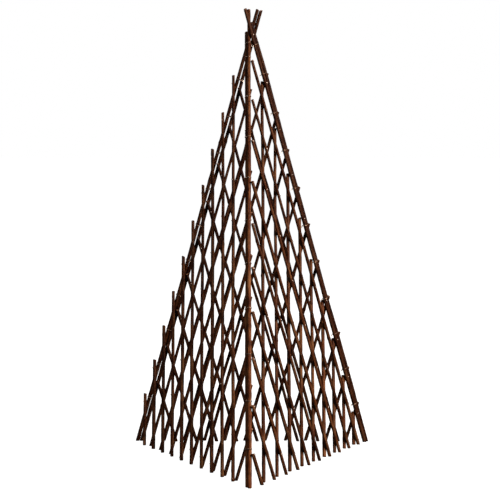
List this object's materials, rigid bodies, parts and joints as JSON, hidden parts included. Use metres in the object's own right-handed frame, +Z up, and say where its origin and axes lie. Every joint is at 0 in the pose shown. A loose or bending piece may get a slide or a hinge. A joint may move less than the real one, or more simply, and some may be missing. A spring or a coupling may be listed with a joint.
{
  "type": "garden obelisk",
  "caption": "Three-sided willow plant obelisk: flat diamond lattice panels of nailed rods that fold like lazy tongs, lashed with wire at the corners.",
  "frame": {"origin": "middle of the footprint's bounding box, on the ground", "axes": "+Z up along the height; -Y towards the front corner post, +X towards the right corner post"},
  "size_m": [0.6714, 0.5884, 1.2213],
  "materials": {
    "edge_rod_bark": "satin stained bark",
    "lattice_rod_bark": "satin stained bark",
    "wire": "galvanised wire and nail heads"
  },
  "bodies": {
    "left_corner_post": {"left_corner_post": "edge_rod_bark"},
    "left_panel_outer_rod_1": {"left_panel_outer_rod_1": "lattice_rod_bark"},
    "left_panel_outer_rod_2": {"left_panel_outer_rod_2": "lattice_rod_bark"},
    "left_panel_outer_rod_3": {"left_panel_outer_rod_3": "lattice_rod_bark"},
    "left_panel_outer_rod_4": {"left_panel_outer_rod_4": "lattice_rod_bark"},
    "left_panel_outer_rod_5": {"left_panel_outer_rod_5": "lattice_rod_bark"},
    "left_panel_outer_rod_6": {"left_panel_outer_rod_6": "lattice_rod_bark"},
    "left_panel_outer_rod_7": {"left_panel_outer_rod_7": "lattice_rod_bark"},
    "left_panel_outer_rod_8": {"left_panel_outer_rod_8": "lattice_rod_bark"},
    "left_panel_outer_rod_9": {"left_panel_outer_rod_9": "lattice_rod_bark"},
    "left_panel_outer_rod_10": {"left_panel_outer_rod_10": "lattice_rod_bark"},
    "left_panel_inner_rod_1": {"left_panel_inner_rod_1": "lattice_rod_bark"},
    "left_panel_inner_rod_2": {"left_panel_inner_rod_2": "lattice_rod_bark"},
    "left_panel_inner_rod_3": {"left_panel_inner_rod_3": "lattice_rod_bark"},
    "left_panel_inner_rod_4": {"left_panel_inner_rod_4": "lattice_rod_bark"},
    "left_panel_inner_rod_5": {"left_panel_inner_rod_5": "lattice_rod_bark"},
    "left_panel_inner_rod_6": {"left_panel_inner_rod_6": "lattice_rod_bark"},
    "left_panel_inner_rod_7": {"left_panel_inner_rod_7": "lattice_rod_bark"},
    "left_panel_inner_rod_8": {"left_panel_inner_rod_8": "lattice_rod_bark"},
    "left_panel_inner_rod_9": {"left_panel_inner_rod_9": "lattice_rod_bark"},
    "front_corner_post": {"front_corner_post": "edge_rod_bark"},
    "right_panel_outer_rod_1": {"right_panel_outer_rod_1": "lattice_rod_bark"},
    "right_panel_outer_rod_2": {"right_panel_outer_rod_2": "lattice_rod_bark"},
    "right_panel_outer_rod_3": {"right_panel_outer_rod_3": "lattice_rod_bark"},
    "right_panel_outer_rod_4": {"right_panel_outer_rod_4": "lattice_rod_bark"},
    "right_panel_outer_rod_5": {"right_panel_outer_rod_5": "lattice_rod_bark"},
    "right_panel_outer_rod_6": {"right_panel_outer_rod_6": "lattice_rod_bark"},
    "right_panel_outer_rod_7": {"right_panel_outer_rod_7": "lattice_rod_bark"},
    "right_panel_outer_rod_8": {"right_panel_outer_rod_8": "lattice_rod_bark"},
    "right_panel_outer_rod_9": {"right_panel_outer_rod_9": "lattice_rod_bark"},
    "right_panel_outer_rod_10": {"right_panel_outer_rod_10": "lattice_rod_bark"},
    "right_panel_inner_rod_1": {"right_panel_inner_rod_1": "lattice_rod_bark"},
    "right_panel_inner_rod_2": {"right_panel_inner_rod_2": "lattice_rod_bark"},
    "right_panel_inner_rod_3": {"right_panel_inner_rod_3": "lattice_rod_bark"},
    "right_panel_inner_rod_4": {"right_panel_inner_rod_4": "lattice_rod_bark"},
    "right_panel_inner_rod_5": {"right_panel_inner_rod_5": "lattice_rod_bark"},
    "right_panel_inner_rod_6": {"right_panel_inner_rod_6": "lattice_rod_bark"},
    "right_panel_inner_rod_7": {"right_panel_inner_rod_7": "lattice_rod_bark"},
    "right_panel_inner_rod_8": {"right_panel_inner_rod_8": "lattice_rod_bark"},
    "right_panel_inner_rod_9": {"right_panel_inner_rod_9": "lattice_rod_bark"},
    "right_corner_post": {"right_corner_post": "edge_rod_bark"},
    "rear_panel_outer_rod_1": {"rear_panel_outer_rod_1": "lattice_rod_bark"},
    "rear_panel_outer_rod_2": {"rear_panel_outer_rod_2": "lattice_rod_bark"},
    "rear_panel_outer_rod_3": {"rear_panel_outer_rod_3": "lattice_rod_bark"},
    "rear_panel_outer_rod_4": {"rear_panel_outer_rod_4": "lattice_rod_bark"},
    "rear_panel_outer_rod_5": {"rear_panel_outer_rod_5": "lattice_rod_bark"},
    "rear_panel_outer_rod_6": {"rear_panel_outer_rod_6": "lattice_rod_bark"},
    "rear_panel_outer_rod_7": {"rear_panel_outer_rod_7": "lattice_rod_bark"},
    "rear_panel_outer_rod_8": {"rear_panel_outer_rod_8": "lattice_rod_bark"},
    "rear_panel_outer_rod_9": {"rear_panel_outer_rod_9": "lattice_rod_bark"},
    "rear_panel_outer_rod_10": {"rear_panel_outer_rod_10": "lattice_rod_bark"},
    "rear_panel_inner_rod_1": {"rear_panel_inner_rod_1": "lattice_rod_bark"},
    "rear_panel_inner_rod_2": {"rear_panel_inner_rod_2": "lattice_rod_bark"},
    "rear_panel_inner_rod_3": {"rear_panel_inner_rod_3": "lattice_rod_bark"},
    "rear_panel_inner_rod_4": {"rear_panel_inner_rod_4": "lattice_rod_bark"},
    "rear_panel_inner_rod_5": {"rear_panel_inner_rod_5": "lattice_rod_bark"},
    "rear_panel_inner_rod_6": {"rear_panel_inner_rod_6": "lattice_rod_bark"},
    "rear_panel_inner_rod_7": {"rear_panel_inner_rod_7": "lattice_rod_bark"},
    "rear_panel_inner_rod_8": {"rear_panel_inner_rod_8": "lattice_rod_bark"},
    "rear_panel_inner_rod_9": {"rear_panel_inner_rod_9": "lattice_rod_bark"}
  },
  "joints": [
    {"name": "fold", "type": "hinge", "parent": "front_corner_post", "child": "left_corner_post", "pos_m": [-0.01069, 0.09902, 1.14994], "axis": [-0.8548, -0.4935, 0.1607], "range_deg": [0, 15]},
    {"name": "left_panel_outer_rod_1_hinge", "type": "hinge", "parent": "left_corner_post", "child": "left_panel_outer_rod_1", "pos_m": [-0.04727, 0.12014, 1.02024], "axis": [-0.8548, -0.4935, 0.1607], "range_deg": [-15, 0]},
    {"name": "left_panel_outer_rod_2_hinge", "type": "hinge", "parent": "left_corner_post", "child": "left_panel_outer_rod_2", "pos_m": [-0.07554, 0.13647, 0.91997], "axis": [-0.8548, -0.4935, 0.1607], "range_deg": [-15, 0]},
    {"name": "left_panel_outer_rod_3_hinge", "type": "hinge", "parent": "left_corner_post", "child": "left_panel_outer_rod_3", "pos_m": [-0.10382, 0.15279, 0.8197], "axis": [-0.8548, -0.4935, 0.1607], "range_deg": [-15, 0]},
    {"name": "left_panel_outer_rod_4_hinge", "type": "hinge", "parent": "left_corner_post", "child": "left_panel_outer_rod_4", "pos_m": [-0.1321, 0.16912, 0.71943], "axis": [-0.8548, -0.4935, 0.1607], "range_deg": [-15, 0]},
    {"name": "left_panel_outer_rod_5_hinge", "type": "hinge", "parent": "left_corner_post", "child": "left_panel_outer_rod_5", "pos_m": [-0.16038, 0.18544, 0.61916], "axis": [-0.8548, -0.4935, 0.1607], "range_deg": [-15, 0]},
    {"name": "left_panel_outer_rod_6_hinge", "type": "hinge", "parent": "left_corner_post", "child": "left_panel_outer_rod_6", "pos_m": [-0.18865, 0.20177, 0.51889], "axis": [-0.8548, -0.4935, 0.1607], "range_deg": [-15, 0]},
    {"name": "left_panel_outer_rod_7_hinge", "type": "hinge", "parent": "left_corner_post", "child": "left_panel_outer_rod_7", "pos_m": [-0.21693, 0.2181, 0.41863], "axis": [-0.8548, -0.4935, 0.1607], "range_deg": [-15, 0]},
    {"name": "left_panel_outer_rod_8_hinge", "type": "hinge", "parent": "left_corner_post", "child": "left_panel_outer_rod_8", "pos_m": [-0.24521, 0.23442, 0.31836], "axis": [-0.8548, -0.4935, 0.1607], "range_deg": [-15, 0]},
    {"name": "left_panel_outer_rod_9_hinge", "type": "hinge", "parent": "left_corner_post", "child": "left_panel_outer_rod_9", "pos_m": [-0.27348, 0.25075, 0.21809], "axis": [-0.8548, -0.4935, 0.1607], "range_deg": [-15, 0]},
    {"name": "left_panel_outer_rod_10_hinge", "type": "hinge", "parent": "left_corner_post", "child": "left_panel_outer_rod_10", "pos_m": [-0.30176, 0.26707, 0.11782], "axis": [-0.8548, -0.4935, 0.1607], "range_deg": [-15, 0]},
    {"name": "left_panel_inner_rod_1_hinge", "type": "hinge", "parent": "front_corner_post", "child": "left_panel_inner_rod_1", "pos_m": [-0.01069, 0.05031, 1.00035], "axis": [-0.8548, -0.4935, 0.1607], "range_deg": [0, 15]},
    {"name": "left_panel_inner_rod_2_hinge", "type": "hinge", "parent": "front_corner_post", "child": "left_panel_inner_rod_2", "pos_m": [-0.01069, 0.01507, 0.89212], "axis": [-0.8548, -0.4935, 0.1607], "range_deg": [0, 15]},
    {"name": "left_panel_inner_rod_3_hinge", "type": "hinge", "parent": "front_corner_post", "child": "left_panel_inner_rod_3", "pos_m": [-0.01069, -0.02017, 0.7839], "axis": [-0.8548, -0.4935, 0.1607], "range_deg": [0, 15]},
    {"name": "left_panel_inner_rod_4_hinge", "type": "hinge", "parent": "front_corner_post", "child": "left_panel_inner_rod_4", "pos_m": [-0.01069, -0.05542, 0.67568], "axis": [-0.8548, -0.4935, 0.1607], "range_deg": [0, 15]},
    {"name": "left_panel_inner_rod_5_hinge", "type": "hinge", "parent": "front_corner_post", "child": "left_panel_inner_rod_5", "pos_m": [-0.01069, -0.09066, 0.56745], "axis": [-0.8548, -0.4935, 0.1607], "range_deg": [0, 15]},
    {"name": "left_panel_inner_rod_6_hinge", "type": "hinge", "parent": "front_corner_post", "child": "left_panel_inner_rod_6", "pos_m": [-0.01069, -0.1259, 0.45922], "axis": [-0.8548, -0.4935, 0.1607], "range_deg": [0, 15]},
    {"name": "left_panel_inner_rod_7_hinge", "type": "hinge", "parent": "front_corner_post", "child": "left_panel_inner_rod_7", "pos_m": [-0.01069, -0.16115, 0.351], "axis": [-0.8548, -0.4935, 0.1607], "range_deg": [0, 15]},
    {"name": "left_panel_inner_rod_8_hinge", "type": "hinge", "parent": "front_corner_post", "child": "left_panel_inner_rod_8", "pos_m": [-0.01069, -0.19639, 0.24277], "axis": [-0.8548, -0.4935, 0.1607], "range_deg": [0, 15]},
    {"name": "left_panel_inner_rod_9_hinge", "type": "hinge", "parent": "front_corner_post", "child": "left_panel_inner_rod_9", "pos_m": [-0.01069, -0.23163, 0.13455], "axis": [-0.8548, -0.4935, 0.1607], "range_deg": [0, 15]},
    {"name": "right_panel_outer_rod_1_hinge", "type": "hinge", "parent": "front_corner_post", "child": "right_panel_outer_rod_1", "pos_m": [-0.00503, 0.05919, 1.07757], "axis": [0.8548, -0.4935, 0.1607], "range_deg": [-15, 0]},
    {"name": "right_panel_outer_rod_2_hinge", "type": "hinge", "parent": "front_corner_post", "child": "right_panel_outer_rod_2", "pos_m": [-0.00503, 0.02463, 0.97146], "axis": [0.8548, -0.4935, 0.1607], "range_deg": [-15, 0]},
    {"name": "right_panel_outer_rod_3_hinge", "type": "hinge", "parent": "front_corner_post", "child": "right_panel_outer_rod_3", "pos_m": [-0.00503, -0.01011, 0.86476], "axis": [0.8548, -0.4935, 0.1607], "range_deg": [-15, 0]},
    {"name": "right_panel_outer_rod_4_hinge", "type": "hinge", "parent": "front_corner_post", "child": "right_panel_outer_rod_4", "pos_m": [-0.00503, -0.04521, 0.75698], "axis": [0.8548, -0.4935, 0.1607], "range_deg": [-15, 0]},
    {"name": "right_panel_outer_rod_5_hinge", "type": "hinge", "parent": "front_corner_post", "child": "right_panel_outer_rod_5", "pos_m": [-0.00503, -0.08079, 0.64773], "axis": [0.8548, -0.4935, 0.1607], "range_deg": [-15, 0]},
    {"name": "right_panel_outer_rod_6_hinge", "type": "hinge", "parent": "front_corner_post", "child": "right_panel_outer_rod_6", "pos_m": [-0.00503, -0.11691, 0.53682], "axis": [0.8548, -0.4935, 0.1607], "range_deg": [-15, 0]},
    {"name": "right_panel_outer_rod_7_hinge", "type": "hinge", "parent": "front_corner_post", "child": "right_panel_outer_rod_7", "pos_m": [-0.00503, -0.15357, 0.42423], "axis": [0.8548, -0.4935, 0.1607], "range_deg": [-15, 0]},
    {"name": "right_panel_outer_rod_8_hinge", "type": "hinge", "parent": "front_corner_post", "child": "right_panel_outer_rod_8", "pos_m": [-0.00503, -0.19071, 0.31018], "axis": [0.8548, -0.4935, 0.1607], "range_deg": [-15, 0]},
    {"name": "right_panel_outer_rod_9_hinge", "type": "hinge", "parent": "front_corner_post", "child": "right_panel_outer_rod_9", "pos_m": [-0.00503, -0.2282, 0.19504], "axis": [0.8548, -0.4935, 0.1607], "range_deg": [-15, 0]},
    {"name": "right_panel_outer_rod_10_hinge", "type": "hinge", "parent": "front_corner_post", "child": "right_panel_outer_rod_10", "pos_m": [-0.00503, -0.26588, 0.07933], "axis": [0.8548, -0.4935, 0.1607], "range_deg": [-15, 0]},
    {"name": "right_panel_inner_rod_1_hinge", "type": "hinge", "parent": "right_corner_post", "child": "right_panel_inner_rod_1", "pos_m": [0.03121, 0.10368, 1.02141], "axis": [0.8548, -0.4935, 0.1607], "range_deg": [0, 15]},
    {"name": "right_panel_inner_rod_2_hinge", "type": "hinge", "parent": "right_corner_post", "child": "right_panel_inner_rod_2", "pos_m": [0.06674, 0.12419, 0.89546], "axis": [0.8548, -0.4935, 0.1607], "range_deg": [0, 15]},
    {"name": "right_panel_inner_rod_3_hinge", "type": "hinge", "parent": "right_corner_post", "child": "right_panel_inner_rod_3", "pos_m": [0.10187, 0.14447, 0.77086], "axis": [0.8548, -0.4935, 0.1607], "range_deg": [0, 15]},
    {"name": "right_panel_inner_rod_4_hinge", "type": "hinge", "parent": "right_corner_post", "child": "right_panel_inner_rod_4", "pos_m": [0.1363, 0.16435, 0.64879], "axis": [0.8548, -0.4935, 0.1607], "range_deg": [0, 15]},
    {"name": "right_panel_inner_rod_5_hinge", "type": "hinge", "parent": "right_corner_post", "child": "right_panel_inner_rod_5", "pos_m": [0.1698, 0.18369, 0.53001], "axis": [0.8548, -0.4935, 0.1607], "range_deg": [0, 15]},
    {"name": "right_panel_inner_rod_6_hinge", "type": "hinge", "parent": "right_corner_post", "child": "right_panel_inner_rod_6", "pos_m": [0.20229, 0.20245, 0.41479], "axis": [0.8548, -0.4935, 0.1607], "range_deg": [0, 15]},
    {"name": "right_panel_inner_rod_7_hinge", "type": "hinge", "parent": "right_corner_post", "child": "right_panel_inner_rod_7", "pos_m": [0.23385, 0.22067, 0.30286], "axis": [0.8548, -0.4935, 0.1607], "range_deg": [0, 15]},
    {"name": "right_panel_inner_rod_8_hinge", "type": "hinge", "parent": "right_corner_post", "child": "right_panel_inner_rod_8", "pos_m": [0.26471, 0.23849, 0.19345], "axis": [0.8548, -0.4935, 0.1607], "range_deg": [0, 15]},
    {"name": "right_panel_inner_rod_9_hinge", "type": "hinge", "parent": "right_corner_post", "child": "right_panel_inner_rod_9", "pos_m": [0.29518, 0.25608, 0.08541], "axis": [0.8548, -0.4935, 0.1607], "range_deg": [0, 15]},
    {"name": "right_corner_post_hinge", "type": "hinge", "parent": "front_corner_post", "child": "right_corner_post", "pos_m": [-0.00503, 0.08275, 1.14994], "axis": [0.8548, -0.4935, 0.1607], "range_deg": [-15, 0]},
    {"name": "rear_panel_outer_rod_1_hinge", "type": "hinge", "parent": "rear_panel_inner_rod_1", "child": "rear_panel_outer_rod_1", "pos_m": [-0.00202, 0.13783, 0.89171], "axis": [0, 0.987, 0.1607], "range_deg": [-15, 0]},
    {"name": "rear_panel_outer_rod_2_hinge", "type": "hinge", "parent": "rear_panel_inner_rod_1", "child": "rear_panel_outer_rod_2", "pos_m": [0.02718, 0.15469, 0.78817], "axis": [0, 0.987, 0.1607], "range_deg": [-15, 0]},
    {"name": "rear_panel_outer_rod_3_hinge", "type": "hinge", "parent": "rear_panel_inner_rod_1", "child": "rear_panel_outer_rod_3", "pos_m": [0.05638, 0.17155, 0.68462], "axis": [0, 0.987, 0.1607], "range_deg": [-15, 0]},
    {"name": "rear_panel_outer_rod_4_hinge", "type": "hinge", "parent": "rear_panel_inner_rod_1", "child": "rear_panel_outer_rod_4", "pos_m": [0.08558, 0.18841, 0.58108], "axis": [0, 0.987, 0.1607], "range_deg": [-15, 0]},
    {"name": "rear_panel_outer_rod_5_hinge", "type": "hinge", "parent": "rear_panel_inner_rod_1", "child": "rear_panel_outer_rod_5", "pos_m": [0.11478, 0.20527, 0.47753], "axis": [0, 0.987, 0.1607], "range_deg": [-15, 0]},
    {"name": "rear_panel_outer_rod_6_hinge", "type": "hinge", "parent": "rear_panel_inner_rod_1", "child": "rear_panel_outer_rod_6", "pos_m": [0.14399, 0.22213, 0.37399], "axis": [0, 0.987, 0.1607], "range_deg": [-15, 0]},
    {"name": "rear_panel_outer_rod_7_hinge", "type": "hinge", "parent": "rear_panel_inner_rod_1", "child": "rear_panel_outer_rod_7", "pos_m": [0.17319, 0.23899, 0.27044], "axis": [0, 0.987, 0.1607], "range_deg": [-15, 0]},
    {"name": "rear_panel_outer_rod_8_hinge", "type": "hinge", "parent": "rear_panel_inner_rod_1", "child": "rear_panel_outer_rod_8", "pos_m": [0.20239, 0.25585, 0.16689], "axis": [0, 0.987, 0.1607], "range_deg": [-15, 0]},
    {"name": "rear_panel_outer_rod_9_hinge", "type": "hinge", "parent": "rear_panel_inner_rod_1", "child": "rear_panel_outer_rod_9", "pos_m": [0.23159, 0.27271, 0.06335], "axis": [0, 0.987, 0.1607], "range_deg": [-15, 0]},
    {"name": "rear_panel_outer_rod_10_hinge", "type": "hinge", "parent": "rear_panel_inner_rod_1", "child": "rear_panel_outer_rod_10", "pos_m": [0.26079, 0.28957, -0.0402], "axis": [0, 0.987, 0.1607], "range_deg": [-15, 0]},
    {"name": "rear_panel_inner_rod_1_hinge", "type": "hinge", "parent": "left_corner_post", "child": "rear_panel_inner_rod_1", "pos_m": [-0.03431, 0.11919, 1.0062], "axis": [0, 0.987, 0.1607], "range_deg": [0, 15]},
    {"name": "rear_panel_inner_rod_2_hinge", "type": "hinge", "parent": "left_corner_post", "child": "rear_panel_inner_rod_2", "pos_m": [-0.06351, 0.13605, 0.90265], "axis": [0, 0.987, 0.1607], "range_deg": [0, 15]},
    {"name": "rear_panel_inner_rod_3_hinge", "type": "hinge", "parent": "left_corner_post", "child": "rear_panel_inner_rod_3", "pos_m": [-0.09271, 0.15291, 0.79911], "axis": [0, 0.987, 0.1607], "range_deg": [0, 15]},
    {"name": "rear_panel_inner_rod_4_hinge", "type": "hinge", "parent": "left_corner_post", "child": "rear_panel_inner_rod_4", "pos_m": [-0.12191, 0.16977, 0.69556], "axis": [0, 0.987, 0.1607], "range_deg": [0, 15]},
    {"name": "rear_panel_inner_rod_5_hinge", "type": "hinge", "parent": "left_corner_post", "child": "rear_panel_inner_rod_5", "pos_m": [-0.15111, 0.18663, 0.59202], "axis": [0, 0.987, 0.1607], "range_deg": [0, 15]},
    {"name": "rear_panel_inner_rod_6_hinge", "type": "hinge", "parent": "left_corner_post", "child": "rear_panel_inner_rod_6", "pos_m": [-0.18031, 0.20349, 0.48847], "axis": [0, 0.987, 0.1607], "range_deg": [0, 15]},
    {"name": "rear_panel_inner_rod_7_hinge", "type": "hinge", "parent": "left_corner_post", "child": "rear_panel_inner_rod_7", "pos_m": [-0.20951, 0.22035, 0.38493], "axis": [0, 0.987, 0.1607], "range_deg": [0, 15]},
    {"name": "rear_panel_inner_rod_8_hinge", "type": "hinge", "parent": "left_corner_post", "child": "rear_panel_inner_rod_8", "pos_m": [-0.23871, 0.2372, 0.28138], "axis": [0, 0.987, 0.1607], "range_deg": [0, 15]},
    {"name": "rear_panel_inner_rod_9_hinge", "type": "hinge", "parent": "left_corner_post", "child": "rear_panel_inner_rod_9", "pos_m": [-0.26792, 0.25406, 0.17784], "axis": [0, 0.987, 0.1607], "range_deg": [0, 15]}
  ],
  "couplings": [
    {"joint": "left_panel_outer_rod_1_hinge", "follows": "fold", "ratio": -1},
    {"joint": "left_panel_outer_rod_2_hinge", "follows": "fold", "ratio": -1},
    {"joint": "left_panel_outer_rod_3_hinge", "follows": "fold", "ratio": -1},
    {"joint": "left_panel_outer_rod_4_hinge", "follows": "fold", "ratio": -1},
    {"joint": "left_panel_outer_rod_5_hinge", "follows": "fold", "ratio": -1},
    {"joint": "left_panel_outer_rod_6_hinge", "follows": "fold", "ratio": -1},
    {"joint": "left_panel_outer_rod_7_hinge", "follows": "fold", "ratio": -1},
    {"joint": "left_panel_outer_rod_8_hinge", "follows": "fold", "ratio": -1},
    {"joint": "left_panel_outer_rod_9_hinge", "follows": "fold", "ratio": -1},
    {"joint": "left_panel_outer_rod_10_hinge", "follows": "fold", "ratio": -1},
    {"joint": "left_panel_inner_rod_1_hinge", "follows": "fold", "ratio": 1},
    {"joint": "left_panel_inner_rod_2_hinge", "follows": "fold", "ratio": 1},
    {"joint": "left_panel_inner_rod_3_hinge", "follows": "fold", "ratio": 1},
    {"joint": "left_panel_inner_rod_4_hinge", "follows": "fold", "ratio": 1},
    {"joint": "left_panel_inner_rod_5_hinge", "follows": "fold", "ratio": 1},
    {"joint": "left_panel_inner_rod_6_hinge", "follows": "fold", "ratio": 1},
    {"joint": "left_panel_inner_rod_7_hinge", "follows": "fold", "ratio": 1},
    {"joint": "left_panel_inner_rod_8_hinge", "follows": "fold", "ratio": 1},
    {"joint": "left_panel_inner_rod_9_hinge", "follows": "fold", "ratio": 1},
    {"joint": "right_panel_outer_rod_1_hinge", "follows": "fold", "ratio": -1},
    {"joint": "right_panel_outer_rod_2_hinge", "follows": "fold", "ratio": -1},
    {"joint": "right_panel_outer_rod_3_hinge", "follows": "fold", "ratio": -1},
    {"joint": "right_panel_outer_rod_4_hinge", "follows": "fold", "ratio": -1},
    {"joint": "right_panel_outer_rod_5_hinge", "follows": "fold", "ratio": -1},
    {"joint": "right_panel_outer_rod_6_hinge", "follows": "fold", "ratio": -1},
    {"joint": "right_panel_outer_rod_7_hinge", "follows": "fold", "ratio": -1},
    {"joint": "right_panel_outer_rod_8_hinge", "follows": "fold", "ratio": -1},
    {"joint": "right_panel_outer_rod_9_hinge", "follows": "fold", "ratio": -1},
    {"joint": "right_panel_outer_rod_10_hinge", "follows": "fold", "ratio": -1},
    {"joint": "right_panel_inner_rod_1_hinge", "follows": "fold", "ratio": 1},
    {"joint": "right_panel_inner_rod_2_hinge", "follows": "fold", "ratio": 1},
    {"joint": "right_panel_inner_rod_3_hinge", "follows": "fold", "ratio": 1},
    {"joint": "right_panel_inner_rod_4_hinge", "follows": "fold", "ratio": 1},
    {"joint": "right_panel_inner_rod_5_hinge", "follows": "fold", "ratio": 1},
    {"joint": "right_panel_inner_rod_6_hinge", "follows": "fold", "ratio": 1},
    {"joint": "right_panel_inner_rod_7_hinge", "follows": "fold", "ratio": 1},
    {"joint": "right_panel_inner_rod_8_hinge", "follows": "fold", "ratio": 1},
    {"joint": "right_panel_inner_rod_9_hinge", "follows": "fold", "ratio": 1},
    {"joint": "right_corner_post_hinge", "follows": "fold", "ratio": -1},
    {"joint": "rear_panel_outer_rod_1_hinge", "follows": "fold", "ratio": -1},
    {"joint": "rear_panel_outer_rod_2_hinge", "follows": "fold", "ratio": -1},
    {"joint": "rear_panel_outer_rod_3_hinge", "follows": "fold", "ratio": -1},
    {"joint": "rear_panel_outer_rod_4_hinge", "follows": "fold", "ratio": -1},
    {"joint": "rear_panel_outer_rod_5_hinge", "follows": "fold", "ratio": -1},
    {"joint": "rear_panel_outer_rod_6_hinge", "follows": "fold", "ratio": -1},
    {"joint": "rear_panel_outer_rod_7_hinge", "follows": "fold", "ratio": -1},
    {"joint": "rear_panel_outer_rod_8_hinge", "follows": "fold", "ratio": -1},
    {"joint": "rear_panel_outer_rod_9_hinge", "follows": "fold", "ratio": -1},
    {"joint": "rear_panel_outer_rod_10_hinge", "follows": "fold", "ratio": -1},
    {"joint": "rear_panel_inner_rod_1_hinge", "follows": "fold", "ratio": 1},
    {"joint": "rear_panel_inner_rod_2_hinge", "follows": "fold", "ratio": 1},
    {"joint": "rear_panel_inner_rod_3_hinge", "follows": "fold", "ratio": 1},
    {"joint": "rear_panel_inner_rod_4_hinge", "follows": "fold", "ratio": 1},
    {"joint": "rear_panel_inner_rod_5_hinge", "follows": "fold", "ratio": 1},
    {"joint": "rear_panel_inner_rod_6_hinge", "follows": "fold", "ratio": 1},
    {"joint": "rear_panel_inner_rod_7_hinge", "follows": "fold", "ratio": 1},
    {"joint": "rear_panel_inner_rod_8_hinge", "follows": "fold", "ratio": 1},
    {"joint": "rear_panel_inner_rod_9_hinge", "follows": "fold", "ratio": 1}
  ]
}
